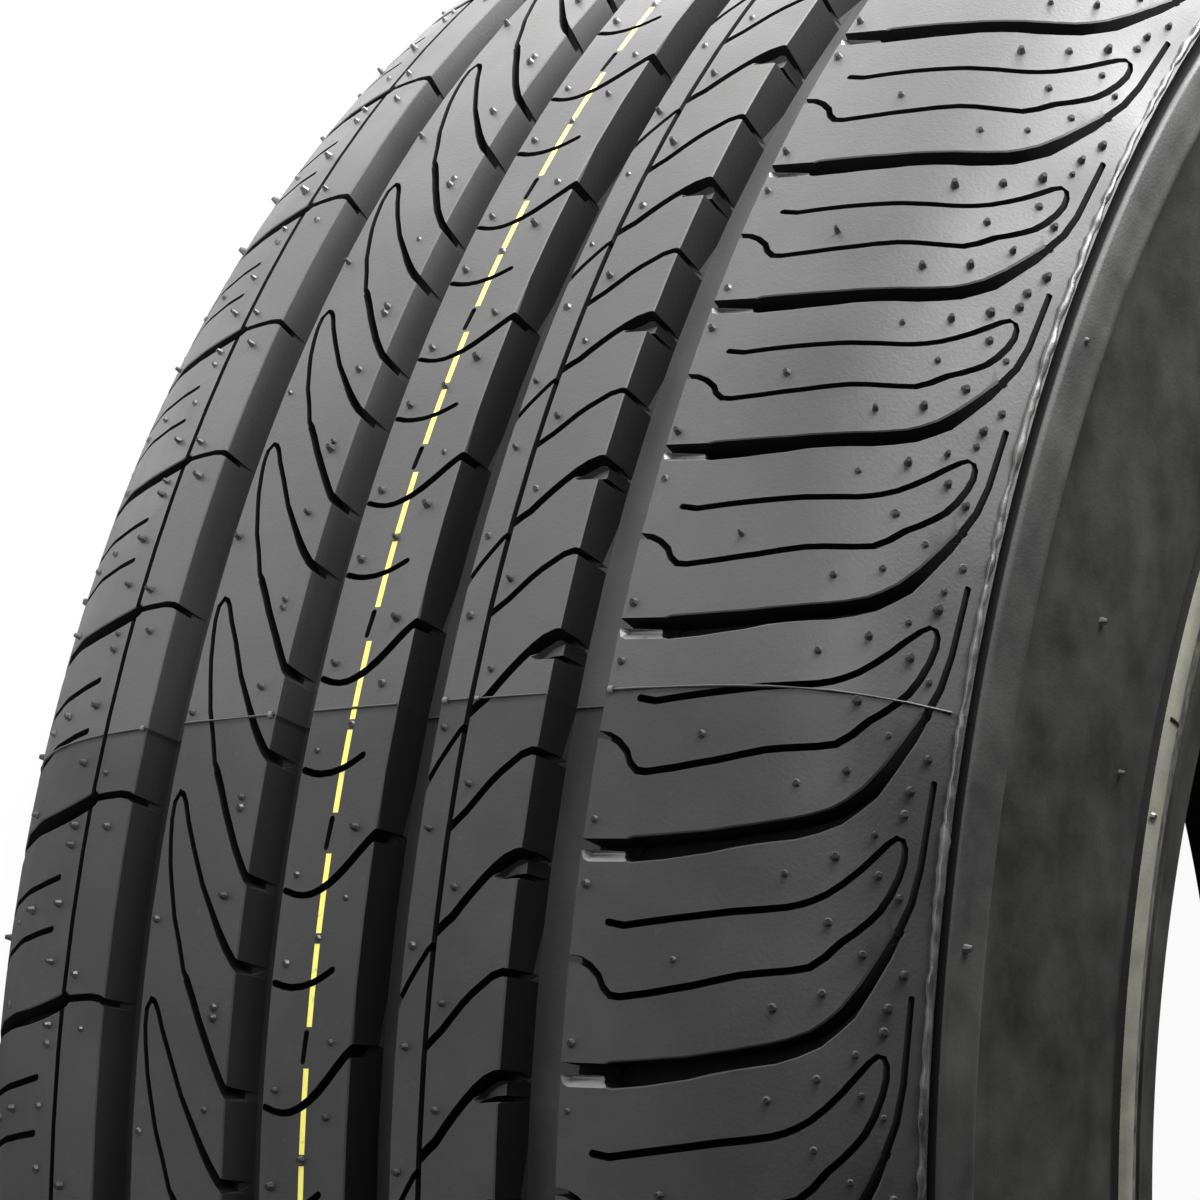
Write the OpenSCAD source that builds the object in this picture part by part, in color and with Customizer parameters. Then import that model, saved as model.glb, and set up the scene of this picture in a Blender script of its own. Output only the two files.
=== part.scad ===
// Passenger car tyre, 225/55 R16 size class, lying on its side with its spin axis along Z.
// The outer sidewall faces up (+Z), and the origin is the centre of the tyre.

/* [Tyre size] */
// Diameter over the middle of the tread
outside_diameter = 654; // [640:1:668]
// Width over the sidewalls
section_width = 233; // [231:1:240]
// Diameter of the bead seats, which sit on the rim
seat_diameter = 405.6; // [404:0.1:407]
// Outer faces of the two beads, heel to heel
bead_spread = 206; // [198:1:210]
// Width of each bead seat
seat_width = 15; // [12:0.5:18]

/* [Wall thickness] */
// Rubber and belts under the main grooves
under_tread = 6; // [4:0.5:8]
// Sidewall at its thinnest
sidewall_thickness = 7; // [5:0.5:9]

/* [Tread crown] */
// Radius of the crown across the tread
crown_radius = 1260; // [900:10:2000]
// How far the tread edge lies inside the sidewall
shoulder_inset = 3.5; // [2.5:0.5:5.5]
// Extra drop of the outer shoulder, 4 mm inside the tread edge
outer_shoulder_drop = 15; // [11:0.5:18]
// How suddenly the outer shoulder falls away
outer_shoulder_power = 7.7; // [5:0.1:10]
// Extra drop of the rounder inner shoulder, 4 mm inside the tread edge
inner_shoulder_drop = 30; // [22:0.5:32]
// How suddenly the inner shoulder falls away
inner_shoulder_power = 5.5; // [5:0.1:8]

/* [Main grooves] */
// Depth of the four main grooves
groove_depth = 8; // [6:0.1:9]
// Slope of the groove walls, as a shift at the floor
groove_draft = 0.8; // [0:0.1:1.5]
// Middle of the inner shoulder groove
groove_1_at = -47.2; // [-50:0.1:-45]
// Width of the inner shoulder groove
groove_1_width = 10; // [7:0.5:12]
// Middle of the inner centre groove
groove_2_at = -14.5; // [-17:0.5:-13]
// Width of the inner centre groove
groove_2_width = 9; // [6:0.5:11]
// Middle of the outer centre groove
groove_3_at = 15; // [14:0.5:17]
// Width of the outer centre groove
groove_3_width = 10; // [7:0.5:11]
// Middle of the outer shoulder groove
groove_4_at = 49.25; // [47:0.25:52]
// Width of the outer shoulder groove
groove_4_width = 12.5; // [8:0.5:14]

/* [Fine lines round the tread] */
// Place of the fine line on the inner shoulder
inner_line_at = -64.7; // [-67:0.1:-61]
// Place of the fine line on the outer centre rib
rib_line_at = 26.6; // [25:0.1:30]
// Width of both fine lines
line_width = 1.1; // [0.6:0.1:1.5]
// Depth of both fine lines
line_depth = 5; // [2:0.5:7]

/* [Cross grooves] */
// How many times the pitch sequence runs round the tyre
pitch_repeats = 8; // [6:1:9]
// Relative length of each pitch in the sequence
pitch_mix = [1.05, 0.91, 0.86, 0.94, 1.10, 1.05, 1.10]; // [0.8:0.01:1.2]
// Angle where the sequence starts
pattern_start = -133; // [-180:1:180]
// Depth of the cross grooves at the middle of the tread
cross_depth = 6.4; // [4:0.1:7]
// Width of the shoulder cross grooves
shoulder_groove_width = 3.2; // [2:0.1:4]
// Width of the slanted grooves and the forks
slant_groove_width = 1.6; // [1:0.1:2.5]
// Width of the fine loops on the outer shoulder
loop_width = 1; // [0.6:0.1:1.6]

/* [Sidewall] */
// Height of the band under the tread edge
buttress_height = 9; // [6:0.5:12]
// How far the band stands proud of the sidewall
buttress_step = 0.7; // [0.4:0.1:1.2]
// Width of the line between tread edge and band
edge_line_width = 1.6; // [1:0.1:2.5]
// Place of the rim protector rib, as a share of the sidewall from bead seat to band
protector_at = 0.4; // [0.34:0.01:0.44]
// Width of the rim protector rib
protector_width = 2.6; // [1.5:0.1:4]

/* [Hidden] */
$fn = 72;

outer_r = outside_diameter / 2;
half_w = section_width / 2;
seat_r = seat_diameter / 2;
heel_z = bead_spread / 2;
tread_edge = half_w - shoulder_inset;
shoulder_at = tread_edge - 4;
heel_round = 3;
groove_overrun = 1;

// Crown line across the tread
function shoulder_fall(z) = z < 0
    ? inner_shoulder_drop * pow(-z / shoulder_at, inner_shoulder_power)
    : outer_shoulder_drop * pow(z / shoulder_at, outer_shoulder_power);
function crown_r(z) = outer_r - z * z / (2 * crown_radius) - shoulder_fall(z);

// Points of the crown at given places along Z
function on_crown(zs) = [for (z = zs) [crown_r(z), z]];
function reversed(list) = [for (i = [len(list) - 1:-1:0]) list[i]];
function flipped(points) = reversed([for (p = points) [p[0], -p[1]]]);
function without_last(list) = [for (i = [0:len(list) - 2]) list[i]];

// Edges of the ribs, and a place as its share of the way across a rib or shoulder
rib_1 = [groove_1_at + groove_1_width / 2, groove_2_at - groove_2_width / 2];
rib_2 = [groove_2_at + groove_2_width / 2, groove_3_at - groove_3_width / 2];
rib_3 = [rib_line_at, groove_4_at - groove_4_width / 2];
outer_shoulder = [groove_4_at + groove_4_width / 2, tread_edge];
inner_shoulder = [inner_line_at, -tread_edge];
function across(rib, share) = rib[0] + share * (rib[1] - rib[0]);
band_shares = [0.36, 0.67, 0.87, 1];
shoulder_bands = [for (t = band_shares) across(outer_shoulder, t)];
inner_bands = reversed([for (t = band_shares) across(inner_shoulder, t)]);

// A groove round the tread, in section: edge, floor, floor, edge
function groove(at, width, depth, draft) = let (a = at - width / 2, b = at + width / 2) [
    [crown_r(a), a],
    [crown_r(at) - depth, a + draft],
    [crown_r(at) - depth, b - draft],
    [crown_r(b), b]];

// The tread from its lower edge to its upper edge
function tread_line() = concat(
    on_crown(inner_bands),
    groove(inner_line_at, line_width, line_depth, 0),
    groove(groove_1_at, groove_1_width, groove_depth, groove_draft),
    groove(groove_2_at, groove_2_width, groove_depth, groove_draft),
    on_crown([0]),
    groove(groove_3_at, groove_3_width, groove_depth, groove_draft),
    groove(rib_line_at, line_width, line_depth, 0),
    groove(groove_4_at, groove_4_width, groove_depth, groove_draft),
    on_crown(shoulder_bands));

// Outside of a wall, from its tread edge down to the bead seat
function wall_outside(edge_r) = let (
    band_top = edge_r - edge_line_width * 2,
    band_end = band_top - buttress_height,
    outer_band_end = crown_r(tread_edge) - edge_line_width * 2 - buttress_height,
    protector = seat_r + protector_at * (outer_band_end - seat_r),
    protector_top = protector + protector_width,
    slack = (band_end - protector_top) / 5,
    lower = protector - seat_r) [
    [edge_r - edge_line_width / 2, tread_edge + 0.9],
    [edge_r - edge_line_width, tread_edge - 0.2],
    [band_top + 0.4, tread_edge + 0.2],
    [band_top, half_w - 1.9],
    [band_end + 0.6, half_w - 0.4],
    [band_end, half_w - 0.4 - buttress_step],
    [band_end - slack, half_w - 0.4],
    [band_end - 2 * slack, half_w],
    [band_end - 3 * slack, half_w - 0.4],
    [protector_top + 2.5, half_w - 1.8],
    [protector_top, half_w],
    [protector, half_w],
    [protector - 3, half_w - 2.3],
    [seat_r + 0.6 * lower, heel_z + 6.5],
    [seat_r + 0.32 * lower, heel_z + 1.8],
    [seat_r + 0.13 * lower, heel_z],
    [seat_r, heel_z - heel_round]];

// Inside of a wall, from the bead toe up to the crown, which follows the shoulder of its side
toe_z = heel_z - heel_round - seat_width;
inner_r = outer_r - groove_depth - under_tread;
inner_w = half_w - sidewall_thickness;
inner_h = inner_r - seat_r;
function under_shoulder(side, z, r) = [r - (crown_r(z) - crown_r(side * z)) / 2, z];
function wall_inside(side) = [
    [seat_r, toe_z],
    [seat_r + 1.5, toe_z - 1.5],
    [seat_r + 0.08 * inner_h, toe_z],
    [seat_r + 0.19 * inner_h, toe_z + 6],
    [seat_r + 0.32 * inner_h, inner_w - 5.5],
    [seat_r + 0.43 * inner_h, inner_w - 1],
    [seat_r + 0.55 * inner_h, inner_w],
    under_shoulder(side, inner_w * 0.99, seat_r + 0.7 * inner_h),
    under_shoulder(side, inner_w * 0.955, seat_r + 0.8 * inner_h),
    under_shoulder(side, inner_w * 0.885, seat_r + 0.88 * inner_h),
    under_shoulder(side, inner_w * 0.775, seat_r + 0.94 * inner_h),
    under_shoulder(side, inner_w * 0.54, inner_r - 2),
    [inner_r, 0]];

module section() {
    polygon(concat(tread_line(), wall_outside(crown_r(tread_edge)), wall_inside(1),
        flipped(without_last(wall_inside(-1))), flipped(wall_outside(crown_r(-tread_edge)))));
}

// Pitch lengths run round the tyre, so that a place is a pitch number with decimals
mix_count = len(pitch_mix);
pitch_count = pitch_repeats * mix_count;
function mix_sum(n) = n <= 0 ? 0 : pitch_mix[n - 1] + mix_sum(n - 1);
turn_scale = 360 / (pitch_repeats * mix_sum(mix_count));
function wrapped(n) = ((n % mix_count) + mix_count) % mix_count;
function turn(p) = let (whole = floor(p), k = wrapped(whole))
    pattern_start + turn_scale * (mix_sum(mix_count) * (whole - k) / mix_count
    + mix_sum(k) + (p - whole) * pitch_mix[k]);

// Outline of a groove that follows a path with a width at each point
function unit(v) = v / norm(v);
function side_dir(p, i) = let (a = p[max(i - 1, 0)], b = p[min(i + 1, len(p) - 1)],
    d = unit([b[0] - a[0], b[1] - a[1]])) [-d[1], d[0]];
function ribbon(p, w) = concat(
    [for (i = [0:len(p) - 1]) p[i] + side_dir(p, i) * w[i] / 2],
    [for (i = [len(p) - 1:-1:0]) p[i] - side_dir(p, i) * w[i] / 2]);

// One cross groove: path points are [place across the tread, pitch number]
cut_from = outer_r - max(inner_shoulder_drop, outer_shoulder_drop) * 2;
cut_to = outer_r + 10;
module cross_cut(path, widths) {
    mid = turn(path[floor(len(path) / 2)][1]);
    flat = [for (q = path) [-q[0], crown_r(q[0]) * sin(turn(q[1]) - mid)]];
    rotate([0, 0, mid]) rotate([0, 90, 0]) translate([0, 0, cut_from])
        linear_extrude(cut_to - cut_from) polygon(ribbon(flat, widths));
}

// Outer shoulder: wide groove that curves into a thin tail along the tread edge
module outer_shoulder_cut(p) {
    w = shoulder_groove_width;
    rib = outer_shoulder;
    cross_cut([
        [rib[0] - groove_overrun, p], [across(rib, 0.5), p - 0.02], [across(rib, 0.74), p - 0.14],
        [across(rib, 0.88), p - 0.38], [across(rib, 0.96), p - 0.9]],
        [w * 0.7, w, w * 0.8, w * 0.5, w * 0.3]);
}

// Outer shoulder: fine loop with its tip by the tread edge and one end in the shoulder groove
module loop_cut(p) {
    w = loop_width;
    rib = outer_shoulder;
    cross_cut([
        [rib[0] - groove_overrun, p + 0.51], [across(rib, 0.16), p + 0.67], [across(rib, 0.72), p + 0.53],
        [across(rib, 0.84), p + 0.34], [across(rib, 0.92), p - 0.1], [across(rib, 0.83), p + 0.06],
        [across(rib, 0.7), p + 0.24], [across(rib, 0.13), p + 0.36]],
        [w, w, w, w, w, w, w, w]);
}

// Inner shoulder: wide groove from the fine line over the edge
module inner_shoulder_cut(p) {
    w = shoulder_groove_width;
    rib = inner_shoulder;
    cross_cut([
        [rib[0] + line_width / 4, p - 0.26], [across(rib, 0.38), p - 0.17],
        [across(rib, 0.71), p - 0.07], [across(rib, 0.94), p + 0.3]],
        [w * 0.8, w * 0.8, w * 0.6, w * 0.3]);
}

// Outer centre rib: slanted groove from the fine line into the shoulder groove
module slant_cut(p, w) {
    rib = rib_3;
    cross_cut([
        [rib[0] + line_width / 3, p + 0.4], [across(rib, 0.63), p + 0.13],
        [rib[1] + groove_overrun, p + 0.04]],
        [w, w, w]);
}

// Inner centre rib: a fork with its tip by the shoulder groove and both legs in the centre groove
module fork_cut(p) {
    w = slant_groove_width;
    rib = rib_1;
    end = rib[1] + groove_overrun;
    cross_cut([
        [end, p + 0.6], [across(rib, 0.4), p + 0.03], [across(rib, 0.09), p - 0.26],
        [across(rib, 0.31), p + 0.4], [end, p + 1.2]],
        [w, w * 0.7, w * 0.7, w * 0.7, w]);
}

// Centre rib: a cut from edge to edge
module centre_cut(p) {
    w = slant_groove_width * 0.75;
    rib = rib_2;
    cross_cut([
        [rib[0] - groove_overrun, p + 0.21], [across(rib, 0.45), p + 0.21],
        [rib[1] + groove_overrun, p - 0.06]],
        [w, w, w]);
}

// The layer that the cross grooves may cut, shallower towards the shoulders
function cut_floor(z) = crown_r(z) - cross_depth * (1 - 0.6 * pow(abs(z) / tread_edge, 6));
module cut_layer() {
    rib = groove_4_at;
    rotate_extrude() polygon([
        [cut_to, -tread_edge], for (z = inner_bands) [cut_floor(z), z], [cut_floor(-rib), -rib],
        [cut_floor(0), 0], [cut_floor(rib), rib], for (z = shoulder_bands) [cut_floor(z), z],
        [cut_to, tread_edge]]);
}

module cross_grooves() {
    intersection() {
        cut_layer();
        for (p = [0:pitch_count - 1]) {
            outer_shoulder_cut(p);
            loop_cut(p);
            inner_shoulder_cut(p);
            slant_cut(p, slant_groove_width);
            slant_cut(p + 0.5, slant_groove_width * 0.7);
            fork_cut(p);
            centre_cut(p);
        }
    }
}

module tyre() {
    color("#2b2b2c") difference() {
        rotate_extrude() section();
        cross_grooves();
    }
}

tyre();
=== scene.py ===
import math
import random

import bpy
import numpy as np
from mathutils import Matrix, Vector
from mathutils.geometry import delaunay_2d_cdt


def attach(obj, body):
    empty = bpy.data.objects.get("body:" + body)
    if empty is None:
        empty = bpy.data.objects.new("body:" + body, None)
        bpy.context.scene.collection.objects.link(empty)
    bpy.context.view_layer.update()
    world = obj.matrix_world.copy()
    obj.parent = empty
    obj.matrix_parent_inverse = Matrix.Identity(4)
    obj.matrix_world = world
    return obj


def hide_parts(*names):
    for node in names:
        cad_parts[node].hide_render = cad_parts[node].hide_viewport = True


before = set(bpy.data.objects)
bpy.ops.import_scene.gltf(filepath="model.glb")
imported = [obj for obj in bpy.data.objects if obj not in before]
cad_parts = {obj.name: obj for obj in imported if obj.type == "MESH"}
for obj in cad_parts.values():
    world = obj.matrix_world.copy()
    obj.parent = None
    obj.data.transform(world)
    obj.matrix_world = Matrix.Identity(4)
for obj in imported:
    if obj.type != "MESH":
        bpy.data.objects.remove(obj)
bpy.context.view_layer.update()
scene = bpy.context.scene
mm = 0.001
print("frame loaded")

# pitches run round the tyre; a place on it is a pitch number with decimals
pitches = {
    "repeats": 8,
    "lengths": [1.05, 0.91, 0.86, 0.94, 1.10, 1.05, 1.10],
    "startDegrees": -133.0,
    "meanLength": 36.69,        # mm along the tread
}
perLap = len(pitches["lengths"])
pitchCount = pitches["repeats"] * perLap
lapDegrees = 360 / pitches["repeats"]
degreesPerUnit = 360 / (pitches["repeats"] * sum(pitches["lengths"]))


def pitchLength(k):
    return pitches["lengths"][k % perLap] * degreesPerUnit


# degrees round the axis at a pitch number
def turnAt(p):
    whole = math.floor(p)
    lap, k = divmod(whole, perLap)
    start = pitches["startDegrees"] + lap * lapDegrees + sum(pitchLength(i) for i in range(k))
    return start + (p - whole) * pitchLength(k)


# section of the tread band, in mm
tread = {
    "outerRadius": 327.0,
    "crownRadius": 1260.0,
    "outerShoulder": (15.0, 7.7),       # drop at the shoulder, power
    "innerShoulder": (30.0, 5.5),
    "shoulderAt": 109.0,
    "edge": 113.0,
    "stepsPerPitch": 3,
    "fade": (0.6, 6),                   # share of their depth that cuts lose at the edge, power
    "lipStrips": 2,                     # strips of the side that have the finish of the ribs
    "sharpAngle": 18,                   # degrees
}

# grooves round the tyre: from, to, depth, run of the wall, bevel
roundGrooves = [
    (-52.4, -42.2, 8.0, 0.8, 0.3),
    (-19.0, -10.0, 8.0, 0.8, 0.3),
    (10.0, 20.0, 8.0, 0.8, 0.3),
    (43.0, 55.5, 8.0, 0.8, 0.3),
    (-65.4, -64.05, 4.5, 0.12, 0),
    (26.0, 27.2, 3.5, 0.1, 0),
]
besideShoulder = 3              # the round groove beside the outer shoulder
mainDepth = 6.0                 # a round groove deeper than this is a main one

# a cut less deep than this keeps the finish of the ribs, near the middle and elsewhere
shallow = {"within": 66.5, "depth": 2.6, "elsewhere": 0.3}

# how the cuts are drawn on the flat cell, in mm
drawing = {
    "overhang": 6.0,            # a cut is drawn where it comes this near to the cell
    "capSteps": 4,
    "wideFrom": 2.0, "wideCapSteps": 6,     # from this half width the round ends are finer
    "mitre": 0.6,               # least cosine at a bend of an outline
    "clearance": 0.93,          # outline points nearer to the path than this share are left out
    "spacing": 0.05,            # least distance between outline points
    "bevelDepth": 0.22,
    "steepWall": 0.5,           # a wall with less run than this is steep
    "snap": 0.02,               # a point this near to a groove's level lies on it
    "fadeFrom": 0.3,            # depths up to this don't fade
    "wallShare": 0.9,           # share of a wall's run that isn't floor
    "merge": 1e-4, "sameRow": 1e-3,         # tolerances for equal points and rows
}

# cuts across a pitch, by name: depth, run of the wall, bevel, width, and points: place across, pitch number,
# and a width where it differs
crossCuts = {
    "shoulderLead": (5.5, 0.2, 0, 1.9, [(54.5, 0), (66, 0)]),
    "leadChamfer": (1.2, 1.4, 0, 3.1, [(57.4, .036), (64.4, .036)]),
    "shoulderGroove": (6.0, 0.35, 0.25, 3.1, [
        (65.8, .022, 4.1), (72, .008, 4.0), (80, -.02, 3.5), (88, -.065), (94, -.1, 3.3), (97, -.13),
        (100, -.175, 2.8), (102, -.23, 2.4), (104, -.3, 2.2), (106, -.42, 1.6), (108, -.57, 1.3),
        (109.3, -.69, 1.1)]),
    "shoulderTail": (5.0, 0.1, 0, 1.05, [
        (109.2, -.68), (110.4, -.83, .85), (111, -1.0, .75), (111.3, -1.4, .7)]),
    "loopOuter": (4.0, 0.12, 0, 1.25, [
        (54.5, .508), (58, .52), (60, .545), (62, .59), (63, .64), (64.5, .675), (66.5, .68),
        (72, .66), (80, .62), (88, .565), (96, .53), (98.5, .51), (100.5, .46, 1.2),
        (102.5, .385, 1.15), (104.2, .335, 1.1), (105.7, .28, 1.05), (106.9, .225, 1.0),
        (107.9, .15, .95), (108.7, .06, .85), (109.1, -.02, .8), (109.05, -.08, .75),
        (108.7, -.115, .75)]),
    "loopInner": (4.0, 0.12, 0, 1.25, [
        (108.7, -.115, .75), (108.0, -.12, .8), (107.1, -.09, .85), (105.6, -.02, .95),
        (104, .05, 1.0), (102, .12, 1.05), (100, .175, 1.1), (98, .212, 1.15), (96.5, .232, 1.2),
        (94.5, .25, 1.2), (91, .267), (86, .285), (80, .31), (72, .34), (66, .363), (62.8, .35)]),
    "slant": (5.5, 0.2, 0, 1.72, [
        (26.9, .405, 1.61), (28.5, .365), (30, .335), (32, .27), (34, .21), (36, .155), (38, .105),
        (40, .065), (42, .042), (43.6, .035, 1.61)]),
    "notch": (2.4, 0.8, 0, 1.8, [(38.6, .14), (41, .115, 3.4), (44.2, .1, 4.6)]),
    "notchSlit": (5.0, 0.1, 0, 0.7, [(38.9, .152), (41, .14, 1.0), (44, .135, 1.1)]),
    "slantThin": (4.5, 0.14, 0, 1.43, [
        (26.9, .925), (28.5, .885), (30, .85), (32, .79), (34, .73), (36, .68), (38, .64), (40, .6),
        (42, .582), (43.6, .585)]),
    "lineSipe": (3.5, 0.1, 0, 1.08, [
        (26.7, .455), (25.5, .485), (24, .545), (22, .63), (20.6, .7), (19.6, .76)]),
    "centreLong": (5.0, 0.12, 0, 1.69, [
        (-9.2, .215, 1.17), (-7, .232, 1.17), (-5, .238, 1.17), (-3, .232, 1.3), (-1, .212, 1.43),
        (1, .182, 1.56), (3, .14), (5, .088), (7, .03), (9, -.024), (10.6, -.06)]),
    "centreShort": (4.0, 0.1, 0, 1.26, [
        (-9.2, .65), (-7, .665), (-5, .67), (-2.5, .664), (0, .645), (2, .62), (4.2, .585)]),
    "centreSlot": (4.0, 0.1, 0, 1.2, [(-.5, -.12), (-.9, .01, 1.08)]),
    "forkRight": (4.5, 0.11, 0, 1.12, [
        (-38.6, -.255), (-37.6, -.215), (-36, -.12), (-34, -.02), (-32, .08), (-30, .18),
        (-28, .26, 1.25), (-26, .34, 1.38), (-24, .42, 1.62), (-22, .49, 1.75), (-20, .55, 1.75),
        (-18.4, .585, 1.75)]),
    "forkLeft": (4.5, 0.1, 0, 1.08, [
        (-38.6, -.255), (-39.6, -.265), (-40.5, -.22), (-40.5, -.14), (-40, -.05), (-39, .08),
        (-38, .17), (-36, .34), (-34, .46), (-32, .6), (-31, .635, 1.35)]),
    "forkThick": (5.5, 0.2, 0, 1.6, [
        (-31.0, .64), (-29, .73), (-27, .83), (-25, .92), (-23, 1.01), (-21, 1.09), (-19.4, 1.15),
        (-18.2, 1.18)]),
    "innerGroove": (6.0, 0.3, 0.25, 3.0, [
        (-64.1, -.263, 2.6), (-66, -.242, 2.8), (-70.9, -.207), (-76.5, -.18), (-83, -.165),
        (-92, -.13, 2.8), (-99, -.07, 2.5), (-104, .02, 2.1), (-108, .17, 1.5), (-110.5, .37, .9)]),
    "innerThin": (4.5, 0.12, 0, 1.38, [
        (-64.3, -.263), (-60, -.27), (-56, -.273), (-53.6, -.263), (-51.4, -.235)]),
    "innerSipeA": (4.0, 0.1, 0, 1.25, [
        (-71.4, .118), (-76.2, .14), (-83, .165), (-91, .205), (-98, .26)]),
    "innerSipeB": (4.0, 0.1, 0, 1.25, [
        (-71.4, .382), (-76.1, .397), (-83, .42), (-91, .47), (-98, .53)]),
}

# rows that follow the curve of the crown
crownRows = [-112.3, -111.2, -109.8, -107.8, -105, -101.5, -97.5, -92, -85, -76, 69, 76, 84, 91, 97,
             101.5, 105, 107.8, 109.8, 111.2, 112.3]

inkLine = {"halfWidth": 0.6, "dashes": [(0.04, 0.415), (0.465, 0.85)]}     # dashes in pitch numbers

# finish numbers in the tread's cell: groove and cut faces carry painted shade, chamfer faces a painted
# highlight
finish = {"top": 0, "groove": 1, "ink": 2, "cut": 3, "chamfer": 4}

# under the lip and the tread band: place across, and how far below the tread edge or the crown
lipPoints = [(113.9, 0.75), (113.5, 1.2), (110.6, 2.0), (107, 4.7)]
undersidePoints = [(100, 9.7), (88, 8.9), (70, 9.0), (30, 9.4)]


# radius of the crown, in mm, at a place across
def crownAt(z):
    drop, power = tread["outerShoulder"] if z >= 0 else tread["innerShoulder"]
    crown = tread["outerRadius"] - z * z / (2 * tread["crownRadius"])
    return crown - drop * (abs(z) / tread["shoulderAt"]) ** power


# distance from each point to the path, and the half width there
def nearestOnPath(points, path, half):
    best = np.full(len(points), 1e9)
    width = np.zeros(len(points))
    for i in range(len(path) - 1):
        a, run = path[i], path[i + 1] - path[i]
        t = np.clip(((points - a) @ run) / (run @ run), 0, 1)
        dist = np.linalg.norm(points - (a + t[:, None] * run), axis=1)
        w = half[i] + t * (half[i + 1] - half[i])
        nearer = (dist - w) < (best - width)
        best = np.where(nearer, dist, best)
        width = np.where(nearer, w, width)
    return best, width


# outline of a cut that follows a path, with round ends
def strokeOutline(path, half, inset, capSteps):
    run = path[1:] - path[:-1]
    run = run / np.linalg.norm(run, axis=1)[:, None]
    side = np.stack([-run[:, 1], run[:, 0]], axis=1)
    left, right = [], []
    for i in range(len(path)):
        before, after = side[max(i - 1, 0)], side[min(i, len(side) - 1)]
        mean = (before + after) / np.linalg.norm(before + after)
        reach = (half[i] - inset) / max(mean @ after, drawing["mitre"])
        left.append(path[i] + mean * reach)
        right.append(path[i] - mean * reach)

    def cap(centre, ahead, across, r):
        turns = [math.pi * k / capSteps for k in range(1, capSteps)]
        return [centre + r * (across * math.cos(t) + ahead * math.sin(t)) for t in turns]

    outline = np.array(left + cap(path[-1], run[-1], side[-1], half[-1] - inset)
                       + right[::-1] + cap(path[0], -run[0], -side[0], half[0] - inset))
    dist, width = nearestOnPath(outline, path, half)
    outline = outline[dist > (width - inset) * drawing["clearance"]]
    kept = [outline[0]]
    for p in outline[1:]:
        if np.linalg.norm(p - kept[-1]) > drawing["spacing"]:
            kept.append(p)
    if np.linalg.norm(kept[0] - kept[-1]) < drawing["spacing"]:
        kept.pop()
    return kept


# distances inside a cut's edge, and the depths there
def cutLevels(wall, bevel, depth):
    if bevel:
        return [-bevel, 0, wall], [0, drawing["bevelDepth"], depth]
    return [0, wall], [0, depth]


# the cell seen flat, in mm, cut up along the outlines of all its cuts
def layTreadCell():
    length, steps, edge = pitches["meanLength"], tread["stepsPerPitch"], tread["edge"]
    verts, edges, cuts = [], [], []

    def addLine(points, closed=False):
        first, count = len(verts), len(points)
        verts.extend(Vector((float(p[0]), float(p[1]))) for p in points)
        edges.extend((first + i, first + i + 1) for i in range(count - 1))
        if closed:
            edges.append((first + count - 1, first))

    def addRow(z):
        addLine([(length * i / steps, z) for i in range(steps + 1)])

    for depth, wall, bevel, width, points in crossCuts.values():
        p = np.array([(*point, width)[:3] for point in points], float)
        levels = cutLevels(wall, bevel, depth)
        for shift in range(-2, 3):      # cuts of the pitches beside this one reach into it
            path = np.stack([(p[:, 1] + shift) * length, p[:, 0]], axis=1)
            if path[:, 0].max() < -drawing["overhang"] or path[:, 0].min() > length + drawing["overhang"]:
                continue
            half = p[:, 2] / 2
            capSteps = drawing["wideCapSteps" if half.max() > drawing["wideFrom"] else "capSteps"]
            for inset in levels[0]:
                addLine(strokeOutline(path, half, inset, capSteps), True)
            cuts.append((path, half, levels))
    for a, b, depth, wall, bevel in roundGrooves:
        for inset in cutLevels(wall, bevel, depth)[0]:
            addRow(a + inset)
            addRow(b - inset)
    for z in crownRows + [-edge, edge]:
        addRow(z)
    ink = inkLine["halfWidth"]
    for a, b in inkLine["dashes"]:
        addLine([(a * length, -ink), (b * length, -ink), (b * length, ink), (a * length, ink)], True)
    addLine([(0, -edge), (0, edge)])
    addLine([(length, -edge), (length, edge)])
    found = delaunay_2d_cdt(verts, edges, [], 0, drawing["merge"], False)
    flat, faces = np.array([tuple(v) for v in found[0]]), np.array(found[2])
    middle = flat[faces].mean(axis=1)
    faces = faces[(middle[:, 0] > 0) & (middle[:, 0] < length) & (abs(middle[:, 1]) < edge)]
    used = np.unique(faces)
    order = np.zeros(len(flat), int)
    order[used] = np.arange(len(used))
    return flat[used], order[faces], cuts


# each point goes as deep as the deepest cut that it lies in
def treadDepths(flat, cuts):
    deep = np.zeros(len(flat))
    share, power = tread["fade"]
    fade = 1 - share * (abs(flat[:, 1]) / tread["edge"]) ** power
    for path, half, (insets, depths) in cuts:
        dist, width = nearestOnPath(flat, path, half)
        inside = width - dist
        if insets[-1] < drawing["steepWall"]:       # each point belongs to the nearest level
            nearest = np.argmin([abs(inside - level) for level in insets], axis=0)
            inside = np.where((inside > insets[0]) & (inside < insets[-1]), np.array(insets)[nearest], inside)
        here = np.interp(inside, insets, depths, left=0)
        deep = np.maximum(deep, np.where(here > drawing["fadeFrom"], here * fade, here))
    for a, b, depth, wall, bevel in roundGrooves:
        insets, depths = cutLevels(wall, bevel, depth)
        inside = np.minimum(flat[:, 1] - a, b - flat[:, 1])
        for level in insets:
            inside = np.where(abs(inside - level) < drawing["snap"], level, inside)
        deep = np.maximum(deep, np.interp(inside, insets, depths, left=0))
    return deep


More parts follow.
